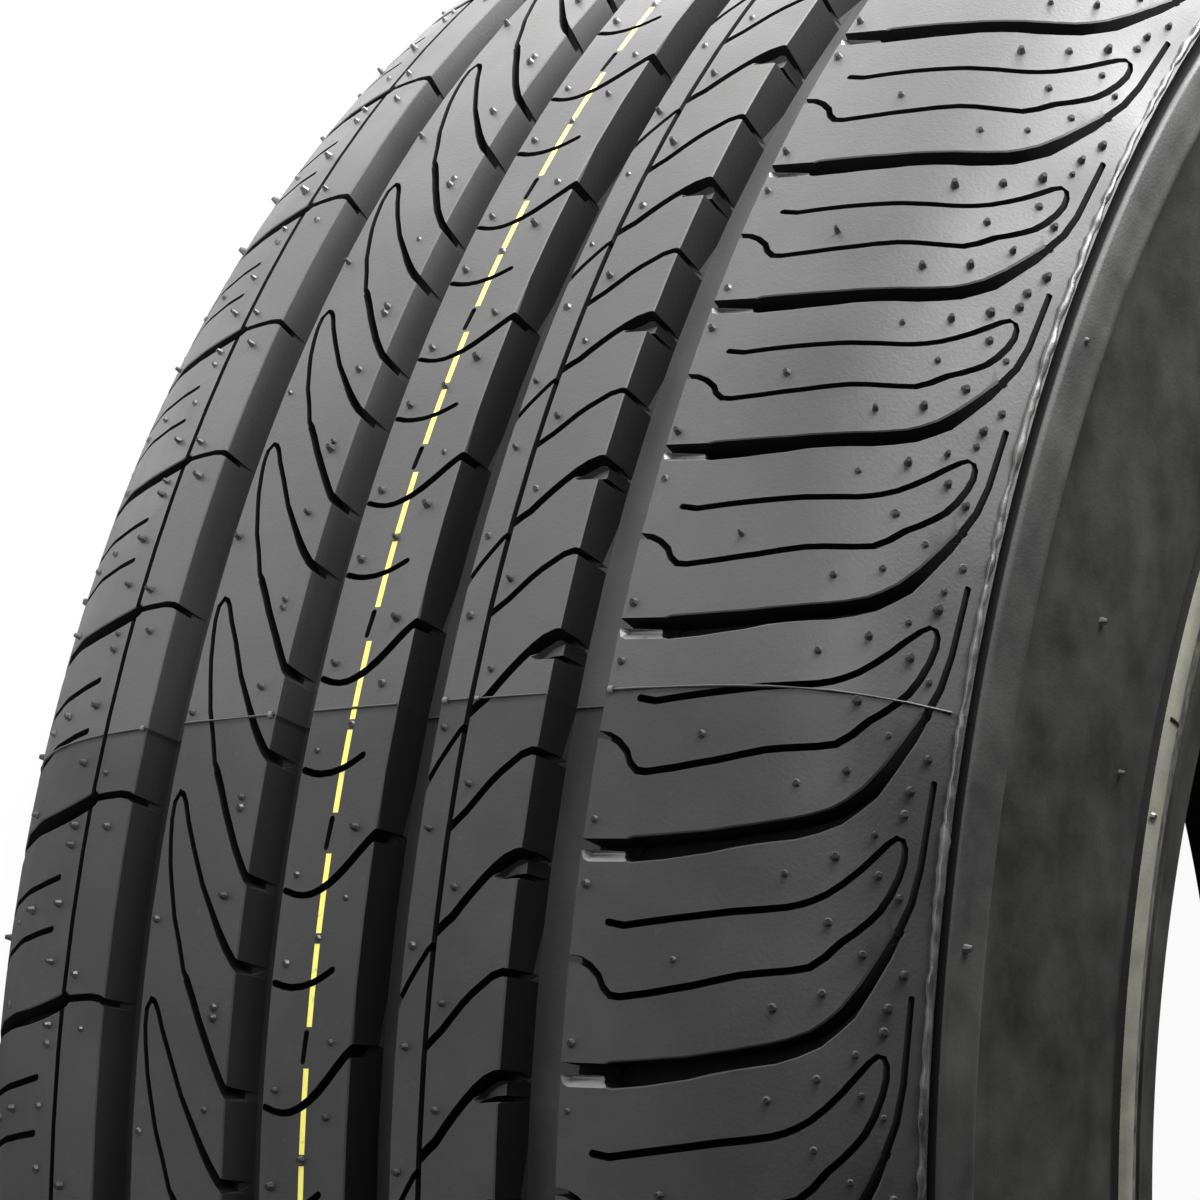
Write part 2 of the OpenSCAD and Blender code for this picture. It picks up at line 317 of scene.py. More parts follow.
# finish of a face, from its middle and the depth of its deepest point
def treadFinish(across, along, deepest):
    if deepest < (shallow["depth"] if abs(across) < shallow["within"] else shallow["elsewhere"]):
        if abs(across) < inkLine["halfWidth"] and any(a < along < b for a, b in inkLine["dashes"]):
            return finish["ink"]
        slopes = across > roundGrooves[besideShoulder][1] and deepest > shallow["elsewhere"]
        return finish["chamfer"] if slopes else finish["top"]
    for i, (a, b, depth, wall, bevel) in enumerate(roundGrooves):
        walls = wall * drawing["wallShare"]
        onFloor = a + walls < across < b - walls
        if depth > mainDepth and a < across < b and (onFloor or a < 0):
            return finish["top"] if i == besideShoulder else finish["groove"]
    return finish["cut"]


# one pitch of the tread band: x is the pitch number, y the place across, z the radius
def makeTreadCell():
    flat, faces, cuts = layTreadCell()
    deep = treadDepths(flat, cuts)
    length, steps, edge = pitches["meanLength"], tread["stepsPerPitch"], tread["edge"]
    points = [(p[0] / length, p[1] * mm, (crownAt(p[1]) - d) * mm) for p, d in zip(flat, deep)]
    polys = [tuple(int(i) for i in f) for f in faces]
    kinds = [treadFinish(flat[f][:, 1].mean(), flat[f][:, 0].mean() / length, deep[f].max()) for f in faces]

    # the sides and the underside
    def row(z, r):
        first = len(points)
        points.extend((i / steps, z * mm, r * mm) for i in range(steps + 1))
        return list(range(first, first + steps + 1))

    def edgeRow(z):
        ids = [i for i, p in enumerate(points[:len(flat)]) if abs(p[1] / mm - z) < drawing["sameRow"]]
        return sorted(ids, key=lambda i: points[i][0])

    def under(side):
        lip = [row(side * z, crownAt(side * edge) - d) for z, d in lipPoints]
        return lip + [row(side * z, crownAt(side * z) - d) for z, d in undersidePoints]

    rows = [edgeRow(edge)] + under(1) + under(-1)[::-1] + [edgeRow(-edge)]
    # past the lip strips, the sides and the underside get the painted shade of the cut finish
    for k, (a, b) in enumerate(zip(rows, rows[1:])):
        fromEdge = min(k, len(rows) - 2 - k)
        for i in range(steps):
            polys.append((a[i], a[i + 1], b[i + 1], b[i]))
            kinds.append(finish["top"] if fromEdge < tread["lipStrips"] else finish["cut"])
    return points, polys, kinds


def meshObject(name, points, edges, faces, inScene=True):
    mesh = bpy.data.meshes.new(name)
    mesh.from_pydata(points, edges, faces)
    mesh.update()
    obj = bpy.data.objects.new(name, mesh)
    if inScene:
        scene.collection.objects.link(obj)
    return obj


# a cell with the finish number of each face, kept out of the scene
def cellObject(name, points, polys, kinds):
    obj = meshObject(name, points, [], polys, inScene=False)
    obj.data.attributes.new("kind", "INT", "FACE").data.foreach_set("value", kinds)
    return obj


# a row of points, one for each cell, with the turn at which the cell starts and its length
def stationsObject(name, starts, lengths):
    obj = meshObject(name, [(i, 0, 0) for i in range(len(starts))], [], [])
    for key, values in (("startTurn", starts), ("turnLength", lengths)):
        obj.data.attributes.new(key, "FLOAT", "POINT").data.foreach_set("value", values)
    return obj


# a node tree with named inputs and outputs
def newTree(name, kind, inputs, outputs):
    tree = bpy.data.node_groups.new(name, kind)
    for label, socketKind, value in inputs:
        socket = tree.interface.new_socket(label, in_out="INPUT", socket_type="NodeSocket" + socketKind)
        if value is not None:
            socket.default_value = value
    for label, socketKind in outputs:
        tree.interface.new_socket(label, in_out="OUTPUT", socket_type="NodeSocket" + socketKind)
    tree.nodes.new("NodeGroupInput").name = "In"
    tree.nodes.new("NodeGroupOutput").name = "Out"
    return tree


def geometryTree(name, inputs):
    geometry = ("Geometry", "Geometry")
    tree = newTree(name, "GeometryNodeTree", [(*geometry, None), *inputs], [geometry])
    tree.is_modifier = True
    return tree


# a node with its settings, and its inputs set to values or linked to sockets
def addNode(tree, kind, links=None, **settings):
    node = tree.nodes.new(kind)
    for key, value in settings.items():
        setattr(node, key, value)
    for key, value in (links or {}).items():
        socket = node.inputs[key]
        if isinstance(value, bpy.types.NodeSocket):
            tree.links.new(value, socket)
        else:
            socket.default_value = value
    return node


def namedAttribute(tree, name, kind):
    return addNode(tree, "GeometryNodeInputNamedAttribute", {"Name": name}, data_type=kind).outputs[0]


def setMaterial(tree, before, material, **more):
    links = {"Geometry": before.outputs[0], "Material": material, **more}
    return addNode(tree, "GeometryNodeSetMaterial", links)


# a Math node's result
def math2(tree, operation, a, b=0.0, c=None):
    links = {0: a, 1: b}
    if c is not None:
        links[2] = c
    return addNode(tree, "ShaderNodeMath", links, operation=operation).outputs[0]


# sets a tree on an object, with its named inputs
def setModifier(obj, tree, values):
    modifier = obj.modifiers.new(tree.name, "NODES")
    modifier.node_group = tree
    for item in tree.interface.items_tree:
        if item.item_type == "SOCKET" and item.in_out == "INPUT" and item.name in values:
            modifier[item.identifier] = values[item.name]


# turns the evaluated nodes into a plain mesh
def bakeTree(obj, name):
    bpy.context.view_layer.update()
    depsgraph = bpy.context.evaluated_depsgraph_get()
    mesh = bpy.data.meshes.new_from_object(obj.evaluated_get(depsgraph), depsgraph=depsgraph)
    obj.modifiers.clear()
    mesh.name = name
    obj.data = mesh
    obj.name = name
    return obj


weld = 2e-6             # metres within which points of neighbouring cells become one
finishes = 6            # materials that the ring tree can give


# repeats a flat cell on the stations and bends the row round the axis
def ringTree():
    tree = geometryTree("ringOfCells", [
        ("Cell", "Object", None), ("Weld", "Float", weld),
        *((f"Finish {value}", "Material", None) for value in range(finishes))])
    source, out = tree.nodes["In"].outputs, tree.nodes["Out"]
    cell = addNode(tree, "GeometryNodeObjectInfo", {"Object": source["Cell"]})
    size = addNode(tree, "GeometryNodeAttributeDomainSize", {"Geometry": source["Geometry"]})
    copies = addNode(tree, "GeometryNodeInstanceOnPoints", {
        "Points": source["Geometry"], "Instance": cell.outputs["Geometry"]})
    real = addNode(tree, "GeometryNodeRealizeInstances", {"Geometry": copies.outputs[0]})
    position = addNode(tree, "GeometryNodeInputPosition").outputs[0]
    place = addNode(tree, "ShaderNodeSeparateXYZ", {0: position}).outputs
    station = math2(tree, "MINIMUM", math2(tree, "MAXIMUM", math2(tree, "FLOOR", place[0]), 0.0),
                    math2(tree, "SUBTRACT", size.outputs["Point Count"], 1.0))

    def sampled(name):
        return addNode(tree, "GeometryNodeSampleIndex", {
            "Geometry": source["Geometry"], "Index": station, "Value": namedAttribute(tree, name, "FLOAT")},
            data_type="FLOAT", domain="POINT").outputs[0]

    within = math2(tree, "SUBTRACT", place[0], station)
    turn = math2(tree, "MULTIPLY_ADD", within, sampled("turnLength"), sampled("startTurn"))
    bent = addNode(tree, "ShaderNodeCombineXYZ", {
        0: math2(tree, "MULTIPLY", place[2], math2(tree, "COSINE", turn)),
        1: math2(tree, "MULTIPLY", place[2], math2(tree, "SINE", turn)), 2: place[1]})
    moved = addNode(tree, "GeometryNodeSetPosition", {
        "Geometry": real.outputs[0], "Position": bent.outputs[0]})
    welded = addNode(tree, "GeometryNodeMergeByDistance", {
        "Geometry": moved.outputs[0], "Distance": source["Weld"]})
    last = setMaterial(tree, welded, source["Finish 0"])
    kind = namedAttribute(tree, "kind", "INT")
    for value in range(1, finishes):
        chosen = addNode(tree, "FunctionNodeCompare", {2: kind, 3: value}, data_type="INT", operation="EQUAL")
        last = setMaterial(tree, last, source[f"Finish {value}"], Selection=chosen.outputs[0])
    tree.links.new(last.outputs[0], out.inputs[0])
    return tree


# a trimmed vent nub on each point, along the point's own direction
def nubTree():
    tree = geometryTree("ventNubs", [
        ("Radius", "Float", 0.6 * mm), ("Tip share", "Float", 0.5),
        ("Height", "Float", 1.0 * mm), ("Sides", "Int", 8),
        ("Thinnest", "Float", 0.8), ("Thickest", "Float", 1.2),
        ("Lowest", "Float", 0.5), ("Tallest", "Float", 1.2), ("Seed", "Int", 5),
        ("Finish", "Material", None), ("Tip shade", "Material", None)])
    source, out = tree.nodes["In"].outputs, tree.nodes["Out"]

    def anyBetween(low, high, seed):
        links = {2: source[low], 3: source[high], "Seed": seed}
        return addNode(tree, "FunctionNodeRandomValue", links, data_type="FLOAT").outputs[1]

    tip = math2(tree, "MULTIPLY", source["Radius"], source["Tip share"])
    cone = addNode(tree, "GeometryNodeMeshCone", {
        "Vertices": source["Sides"], "Radius Top": tip, "Radius Bottom": source["Radius"],
        "Depth": source["Height"]})
    marked = addNode(tree, "GeometryNodeStoreNamedAttribute", {
        "Geometry": cone.outputs[0], "Name": "nubTip", "Value": cone.outputs["Top"]},
        data_type="BOOLEAN", domain="FACE")
    outward = namedAttribute(tree, "outward", "FLOAT_VECTOR")
    aimed = addNode(tree, "FunctionNodeAlignRotationToVector", {"Vector": outward}, axis="Z")
    thick = anyBetween("Thinnest", "Thickest", source["Seed"])
    tall = anyBetween("Lowest", "Tallest", math2(tree, "ADD", source["Seed"], 1.0))
    scaled = addNode(tree, "ShaderNodeCombineXYZ", {0: thick, 1: thick, 2: tall})
    copies = addNode(tree, "GeometryNodeInstanceOnPoints", {
        "Points": source["Geometry"], "Instance": marked.outputs[0], "Rotation": aimed.outputs[0],
        "Scale": scaled.outputs[0]})
    real = addNode(tree, "GeometryNodeRealizeInstances", {"Geometry": copies.outputs[0]})
    whole = setMaterial(tree, real, source["Finish"])
    # the tips get a material of their own, painted dark for shade
    last = setMaterial(tree, whole, source["Tip shade"], Selection=namedAttribute(tree, "nubTip", "BOOLEAN"))
    tree.links.new(last.outputs[0], out.inputs[0])
    return tree


# an uneven bead of mould flash along the object's own edges
def flashTree():
    tree = geometryTree("mouldFlash", [
        ("Radius", "Float", 0.3 * mm), ("Unevenness", "Float", 0.4),
        ("Least share", "Float", 0.25), ("Grain size", "Float", 250.0),
        ("Sides", "Int", 5), ("Finish", "Material", None)])
    source, out = tree.nodes["In"].outputs, tree.nodes["Out"]
    swing = 4.0         # the noise stays near its middle, so its swing is widened
    line = addNode(tree, "GeometryNodeMeshToCurve", {"Mesh": source["Geometry"]})
    position = addNode(tree, "GeometryNodeInputPosition").outputs[0]
    noise = addNode(tree, "ShaderNodeTexNoise", {
        "Vector": position, "Scale": source["Grain size"], "Detail": 2.0})
    spread = math2(tree, "MULTIPLY", math2(tree, "SUBTRACT", noise.outputs[0], 0.5),
                   math2(tree, "MULTIPLY", source["Unevenness"], swing))
    share = math2(tree, "MAXIMUM", math2(tree, "ADD", spread, 1.0), source["Least share"])
    ring = addNode(tree, "GeometryNodeCurvePrimitiveCircle", {"Resolution": source["Sides"], "Radius": 1.0})
    tube = addNode(tree, "GeometryNodeCurveToMesh", {
        "Curve": line.outputs[0], "Profile Curve": ring.outputs[0], "Fill Caps": True,
        "Scale": math2(tree, "MULTIPLY", source["Radius"], share)})
    real = addNode(tree, "GeometryNodeRealizeInstances", {"Geometry": tube.outputs[0]})
    last = setMaterial(tree, real, source["Finish"])
    tree.links.new(last.outputs[0], out.inputs[0])
    return tree


def objectPlace(tree):
    return addNode(tree, "ShaderNodeTexCoord").outputs["Object"]


def noiseAt(tree, place, scale, detail, roughness=0.5):
    return addNode(tree, "ShaderNodeTexNoise", {
        "Vector": place, "Scale": scale, "Detail": detail, "Roughness": roughness}).outputs[0]


def rampBetween(tree, value, fromLow, fromHigh, toLow=0.0, toHigh=1.0):
    return addNode(tree, "ShaderNodeMapRange", {
        "Value": value, "From Min": fromLow, "From Max": fromHigh,
        "To Min": toLow, "To Max": toHigh}).outputs[0]


# a and b are colours, or sockets that carry one
def mixColour(tree, factor, a, b):
    node = addNode(tree, "ShaderNodeMix", {0: factor}, data_type="RGBA")
    for socket, value in ((node.inputs[6], a), (node.inputs[7], b)):
        if isinstance(value, bpy.types.NodeSocket):
            tree.links.new(value, socket)
        else:
            socket.default_value = (*value, 1)
    return node.outputs[2]


partingLine = {
    "pitch": 4.35,
    "midPlace": 12.0,           # mm across the tread where the line is at its pitch number
    "lean": -0.000109,          # radians of turn per mm across
    "toneStep": 0.7,            # share of the tone that alternates, the rest is noise
    "shade": (0.0025, 0.005),   # shares of a segment between which the shade beside the line ends
    "radius": 0.25, "sink": 0.02, "unevenness": 0.8, "grain": 220.0, "sides": 6,
    "step": 5,                  # mm between its points
    # from, to, and the depth there
    "spans": [(-111.5, -65.6, 0), (-63.9, -52.6, 0), (-42, -19.2, 0), (-9.8, 9.8, 0), (20.2, 25.8, 0),
              (27.4, 42.8, 0), (55.7, 112, 0), (-51.4, -43.2, 8), (-17.8, -11.2, 8), (11.2, 18.8, 8),
              (44.2, 54.3, 8)],
}


# the mould segments, one for each repeat of the pitches: a tone for each, and shade beside the parting lines
def mouldSegmentGroup():
    group = newTree("mouldSegment", "ShaderNodeTree", [("Place", "Vector", None)],
                    [("Tone", "Float"), ("Parting shade", "Float")])

    def calc(operation, a, b):
        return math2(group, operation, a, b)

    place = addNode(group, "ShaderNodeSeparateXYZ", {0: group.nodes["In"].outputs["Place"]}).outputs
    angle = calc("ARCTAN2", place[1], place[0])
    fromMiddle = calc("SUBTRACT", place[2], partingLine["midPlace"] * mm)
    lean = calc("MULTIPLY", fromMiddle, partingLine["lean"] / mm)
    start = math.radians(turnAt(partingLine["pitch"]) - 720)    # two turns back, so that none is below zero
    turns = calc("DIVIDE", calc("SUBTRACT", calc("SUBTRACT", angle, lean), start), math.radians(lapDegrees))
    index = calc("MODULO", calc("FLOOR", turns, 0.0), float(pitches["repeats"]))
    odd = calc("MODULO", calc("ADD", index, 1.0), 2.0)
    noise = addNode(group, "ShaderNodeTexWhiteNoise", {"W": index}, noise_dimensions="1D").outputs[0]
    tone = calc("ADD", calc("MULTIPLY", odd, partingLine["toneStep"]),
                calc("MULTIPLY", noise, 1 - partingLine["toneStep"]))
    shade = rampBetween(group, calc("FRACT", turns, 0.0), *partingLine["shade"], 1.0, 0.0)
    group.links.new(tone, group.nodes["Out"].inputs["Tone"])
    group.links.new(shade, group.nodes["Out"].inputs["Parting shade"])


# for the noises: scale, detail, roughness
grain = {
    "fineDetail": 2.0,
    "pitShare": 0.3,            # share of the height that comes from the pits
    "smearDetail": (4.0, 0.55),
    "specks": (420.0, 4.0, 0.7), "speckRange": (0.60, 0.72), "speckShare": 0.5,
    "patches": (23.0, 5.0, 0.6), "patchRange": (0.45, 0.75),
}


# fine moulded grain, soft release smears and pale dust
def rubberGrainGroup():
    group = newTree("rubberGrain", "ShaderNodeTree", [
        ("Place", "Vector", None), ("Grain scale", "Float", 1400.0),
        ("Smear scale", "Float", 9.0), ("Dust", "Float", 0.3)],
        [("Height", "Float"), ("Smear", "Float"), ("Dust", "Float")])
    source, out = group.nodes["In"].outputs, group.nodes["Out"].inputs
    place = source["Place"]
    fine = noiseAt(group, place, source["Grain scale"], grain["fineDetail"])
    pits = addNode(group, "ShaderNodeTexVoronoi", {"Vector": place, "Scale": source["Grain scale"]})
    height = math2(group, "ADD", math2(group, "MULTIPLY", fine, 1 - grain["pitShare"]),
                   math2(group, "MULTIPLY", pits.outputs[0], grain["pitShare"]))
    smear = noiseAt(group, place, source["Smear scale"], *grain["smearDetail"])
    specks = rampBetween(group, noiseAt(group, place, *grain["specks"]), *grain["speckRange"])
    patches = rampBetween(group, noiseAt(group, place, *grain["patches"]), *grain["patchRange"])
    both = math2(group, "ADD", math2(group, "MULTIPLY", specks, grain["speckShare"]), patches)
    group.links.new(height, out["Height"])
    group.links.new(smear, out["Smear"])
    group.links.new(math2(group, "MULTIPLY", both, source["Dust"]), out["Dust"])


rubberGrainGroup()
mouldSegmentGroup()

# colours from dark to light and roughness from smooth to rough follow the smears
treadLook = {
    "dark": (0.036, 0.036, 0.037), "light": (0.058, 0.057, 0.057), "smooth": 0.34, "rough": 0.62,
    "smearScale": 19.0, "smearRange": (0.3, 0.7), "specular": 0.36,
    "dust": 0.10, "dustColour": (0.17, 0.165, 0.155),
    "segment": (0.013, 0.013, 0.013), "segmentRough": 0.12, "shade": (0.004, 0.004, 0.004),
    "segmentStep": 1.0,         # how much of the segments' tone and shade it shows
    "grainScale": 1500.0, "bump": 0.35, "bumpDistance": 0.15,
}


def newMaterial(name):
    material = bpy.data.materials.new(name)
    material.use_nodes = True
    return material, material.node_tree, material.node_tree.nodes["Principled BSDF"]


def addBump(tree, shader, height, look):
    bump = addNode(tree, "ShaderNodeBump", {
        "Height": height, "Strength": look["bump"], "Distance": look["bumpDistance"] * mm})
    tree.links.new(bump.outputs[0], shader.inputs["Normal"])


# rubber with grain, smears, dust, the tone of its mould segment and painted shade beside its parting lines:
# the tread's look with what differs
def rubberMaterial(name, **changes):
    look = {**treadLook, **changes}
    material, tree, shader = newMaterial(name)
    place = objectPlace(tree)
    texture = addNode(tree, "ShaderNodeGroup", node_tree=bpy.data.node_groups["rubberGrain"])
    segment = addNode(tree, "ShaderNodeGroup", node_tree=bpy.data.node_groups["mouldSegment"])
    tree.links.new(place, texture.inputs["Place"])
    tree.links.new(place, segment.inputs["Place"])
    for label, key in (("Grain scale", "grainScale"), ("Smear scale", "smearScale"), ("Dust", "dust")):
        texture.inputs[label].default_value = look[key]
    tone = math2(tree, "MULTIPLY", segment.outputs["Tone"], look["segmentStep"])
    # painted shade beside the parting line, mixed into the colour below
    step = math2(tree, "MULTIPLY", segment.outputs["Parting shade"], look["segmentStep"])
    smear = rampBetween(tree, texture.outputs["Smear"], *look["smearRange"])
    base = mixColour(tree, smear, look["dark"], look["light"])
    base = mixColour(tree, tone, base, look["segment"])
    base = mixColour(tree, texture.outputs["Dust"], base, look["dustColour"])
    base = mixColour(tree, step, base, look["shade"])
    tree.links.new(base, shader.inputs["Base Color"])
    rough = rampBetween(tree, texture.outputs["Smear"], *look["smearRange"], look["smooth"], look["rough"])
    rough = math2(tree, "ADD", rough, math2(tree, "MULTIPLY", tone, look["segmentRough"]))
    tree.links.new(rough, shader.inputs["Roughness"])
    addBump(tree, shader, texture.outputs["Height"], look)
    shader.inputs["Specular IOR Level"].default_value = look["specular"]
    return material


inkLook = {
    "fresh": (0.78, 0.72, 0.13), "worn": (0.30, 0.29, 0.14), "roughness": (0.55, 0.7),
    "wear": (260.0, 4.0, 0.6), "wearRange": (0.60, 0.72),          # scale, detail, roughness of the noise
    "grain": (1500.0, 2.0), "bump": 0.3, "bumpDistance": 0.1,
}


# yellow marking ink, thin and a little broken
def inkMaterial():
    material, tree, shader = newMaterial("yellowInk")
    place = objectPlace(tree)
    wear = rampBetween(tree, noiseAt(tree, place, *inkLook["wear"]), *inkLook["wearRange"])
    tree.links.new(mixColour(tree, wear, inkLook["fresh"], inkLook["worn"]), shader.inputs["Base Color"])
    tree.links.new(rampBetween(tree, wear, 0, 1, *inkLook["roughness"]), shader.inputs["Roughness"])
    addBump(tree, shader, noiseAt(tree, place, *inkLook["grain"]), inkLook)
    return material


treadRubber = rubberMaterial("treadRubber")
# darker rubber: painted shade in the three main grooves away from the outer shoulder, on their floors and on
# the walls of the two on the inner side
grooveShadeRubber = rubberMaterial(
    "grooveShadeRubber", dark=(0.026, 0.026, 0.027), light=(0.038, 0.038, 0.039), smooth=0.42, rough=0.54,
    dust=0.05)
# near-black rubber: painted shade in the cuts and on deep walls, on the hidden sides of the tread band, under
# its lip, in the dip before the protector rib and on the fine cut across it
shadeRubber = rubberMaterial(
    "shadeRubber", dark=(0.004, 0.004, 0.004), light=(0.007, 0.007, 0.007), segment=(0.004, 0.004, 0.004),
    smooth=0.7, rough=0.8, dust=0.0, specular=0.12)
sidewallRubber = rubberMaterial(
    "sidewallRubber", dark=(0.005, 0.005, 0.0046), light=(0.022, 0.022, 0.0195), smooth=0.62, rough=0.76,
    dust=0.05, segmentStep=0.0, smearScale=70.0, specular=0.10)
bandRubber = rubberMaterial(
    "bandRubber", dark=(0.010, 0.010, 0.010), light=(0.030, 0.030, 0.029), smooth=0.44, rough=0.58,
    dust=0.08, segmentStep=0.0, smearScale=60.0, specular=0.3)
# pale olive rubber on the protector rib: partly its own colour, partly a painted sheen where the rib faces
# the light
protectorSheenRubber = rubberMaterial(
    "protectorSheenRubber", dark=(0.080, 0.080, 0.066), light=(0.14, 0.137, 0.112), smooth=0.5, rough=0.6,
    dust=0.1, segmentStep=0.0, smearScale=90.0)
scuffedRubber = rubberMaterial(
    "scuffedRubber", dark=(0.003, 0.003, 0.003), light=(0.080, 0.080, 0.066), smooth=0.5, rough=0.7,
    dust=0.1, segmentStep=0.0, smearScale=330.0, specular=0.2)
linerRubber = rubberMaterial(
    "linerRubber", dark=(0.018, 0.018, 0.019), light=(0.030, 0.030, 0.031), smooth=0.38, rough=0.55,
    dust=0.12, segmentStep=0.0, smearScale=14.0)
flashRubber = rubberMaterial(
    "flashRubber", dark=(0.012, 0.012, 0.012), light=(0.050, 0.050, 0.048), smooth=0.24, rough=0.52,
    dust=0.12, segmentStep=0.0, smearScale=240.0, specular=0.6)
# lighter, shinier rubber: its lighter colour is a painted highlight, on the outer shoulder's chamfers and on
# the lumps of flash
chamferHighlightRubber = rubberMaterial(
    "chamferHighlightRubber", dark=(0.050, 0.050, 0.050), light=(0.088, 0.088, 0.086), smooth=0.24, rough=0.45,
    dust=0.12, segmentStep=0.0, smearScale=240.0, specular=0.6)
nubRubber = rubberMaterial(
    "nubRubber", dark=(0.034, 0.034, 0.034), light=(0.060, 0.060, 0.059), smooth=0.28, rough=0.42,
    dust=0.0, segmentStep=0.0, smearScale=90.0, specular=0.5)
# near-black rubber on the nub tips: painted shade that makes the nubs' dark dots
tipShadeRubber = rubberMaterial(
    "tipShadeRubber", dark=(0.006, 0.006, 0.006), light=(0.016, 0.016, 0.016), smooth=0.6, rough=0.75,
    dust=0.0, segmentStep=0.0, smearScale=90.0, specular=0.2)
yellowInk = inkMaterial()
print("materials made")


# tread band
ring = ringTree()
treadCell = cellObject("treadCell", *makeTreadCell())
stations = stationsObject("treadStations", [math.radians(turnAt(k)) for k in range(pitchCount)],
                          [math.radians(pitchLength(k)) for k in range(pitchCount)])
setModifier(stations, ring, {
    "Cell": treadCell, "Finish 0": treadRubber, "Finish 1": grooveShadeRubber, "Finish 2": yellowInk,
    "Finish 3": shadeRubber, "Finish 4": chamferHighlightRubber})
treadBand = bakeTree(stations, "treadBand")
treadBand.data.shade_smooth()
treadBand.data.set_sharp_from_angle(angle=math.radians(tread["sharpAngle"]))
print("tread band:", len(treadBand.data.polygons), "faces")


# casing: sidewalls, beads and liner as one revolved section
casing = {
    "steps": 288,
    "sharpAngle": 38,                       # degrees
    "crown": [0, 30, 60, 85, 98, 105],      # places across, under the tread band
    "underCrown": 8.6,
    # place across, and how far below the tread edge
    "shoulderBand": [(108.6, 3.0), (112.9, 3.4), (113.9, 3.45), (114.5, 3.7), (114.9, 4.4), (115.6, 8.1),
                     (116.05, 10.5), (116.25, 11.1), (116.25, 11.8), (115.8, 12.4), (115.45, 13.1)],
    # the first rows, under the lip, are painted shade
    "paintedShadeRows": 2, "bandRows": 8,           # the first rows are dark, the next have the band's look
    # place across, and the share of the way from the band to the foot of the protector rib
    "belly": [(115.5, .065), (116.0, .19), (116.35, .34), (116.5, .50), (116.35, .65), (116.0, .80),
              (115.6, .905), (115.3, .97)],
    # place across, radius
    "lower": [(115.0, 242.6), (115.1, 241.9), (115.7, 240.9), (116.3, 240.0), (116.5, 239.3), (116.5, 237.6),
              (116.2, 236.8), (115.2, 236.0), (114.2, 234.8), (113.7, 233.6), (113.0, 231.9), (112.6, 231.0),
              (111.0, 227.0), (109.5, 223.8), (109.35, 223.2), (109.7, 222.7), (109.4, 222.1), (108.3, 220.6),
              (106.4, 216.5), (104.8, 213.5), (103.9, 211.0), (103.3, 208.6), (103.0, 206.6), (102.7, 205.2),
              (101.9, 203.9), (100.8, 203.1), (99.4, 202.8), (86.4, 202.8)],
    "lowerFinish": [("dark", 241.5, 243), ("rib", 233, 241.5), ("scuffed", 226, 233)],     # between two radii
    "toe": [(85.0, 203.0), (84.0, 203.6), (83.5, 204.6), (83.7, 207.0), (85.0, 211.8), (87.5, 217.5),
            (91.0, 223.8), (96.5, 230.0), (102.0, 235.8), (105.8, 241.5), (108.3, 249.0), (109.3, 257.0),
            (109.5, 265.0)],
    "liner": [(109.3, 272.0), (108.2, 280.0), (106.0, 287.5), (102.5, 293.5), (97.0, 299.0), (89.5, 303.8),
              (80.0, 307.3), (65.0, 310.4), (40.0, 312.3), (0, 313.0)],
}

# finish numbers in the casing's cell
# the dark finish is painted shade: near-black rubber under the tread band, in the rows under its lip and in
# the dip before the protector rib
casingFinish = {"side": 0, "liner": 1, "band": 2, "dark": 3, "rib": 4, "scuffed": 5}


def bandFinish(row):
    return "dark" if row < casing["paintedShadeRows"] else "band" if row < casing["bandRows"] else "side"


def lowerFinish(radius):
    return next((kind for kind, a, b in casing["lowerFinish"] if a < radius < b), "side")


# section of one side from the crown down to the toe and up the liner: place across, radius, finish
def casingSide(side):
    edgeRadius = crownAt(side * tread["edge"])
    bandEnd, foot = edgeRadius - casing["shoulderBand"][-1][1], casing["lower"][0][1]
    line = [(z, crownAt(side * z) - casing["underCrown"], "dark") for z in casing["crown"]]
    line += [(z, edgeRadius - d, bandFinish(i)) for i, (z, d) in enumerate(casing["shoulderBand"])]
    line += [(z, bandEnd - t * (bandEnd - foot), "side") for z, t in casing["belly"]]
    line += [(z, r, lowerFinish(r)) for z, r in casing["lower"]]
    line += [(z, r, "liner") for z, r in casing["toe"]]
    line += [(z, r - (crownAt(z) - crownAt(side * z)) / 2, "liner") for z, r in casing["liner"]]
    return [(side * z, r, casingFinish[kind]) for z, r, kind in line]


def makeCasingCell():
    upper, lower = casingSide(1), casingSide(-1)
    loop = upper + lower[1:-1][::-1]
    kinds = [kind for z, r, kind in upper[:-1]] + [kind for z, r, kind in lower[:-1][::-1]]
    count = len(loop)
    points = [(x, z * mm, r * mm) for x in (0, 1) for z, r, kind in loop]
    polys = [(i, count + i, count + (i + 1) % count, (i + 1) % count) for i in range(count)]
    return points, polys, kinds


steps = casing["steps"]
casingStations = stationsObject("casingStations", [2 * math.pi * k / steps for k in range(steps)],
                                [2 * math.pi / steps] * steps)
setModifier(casingStations, ring, {
    "Cell": cellObject("casingCell", *makeCasingCell()), "Finish 0": sidewallRubber, "Finish 1": linerRubber,
    "Finish 2": bandRubber, "Finish 3": shadeRubber, "Finish 4": protectorSheenRubber, "Finish 5": scuffedRubber})
casingRing = bakeTree(casingStations, "casing")
casingRing.data.shade_smooth()
casingRing.data.set_sharp_from_angle(angle=math.radians(casing["sharpAngle"]))
print("casing:", len(casingRing.data.polygons), "faces")


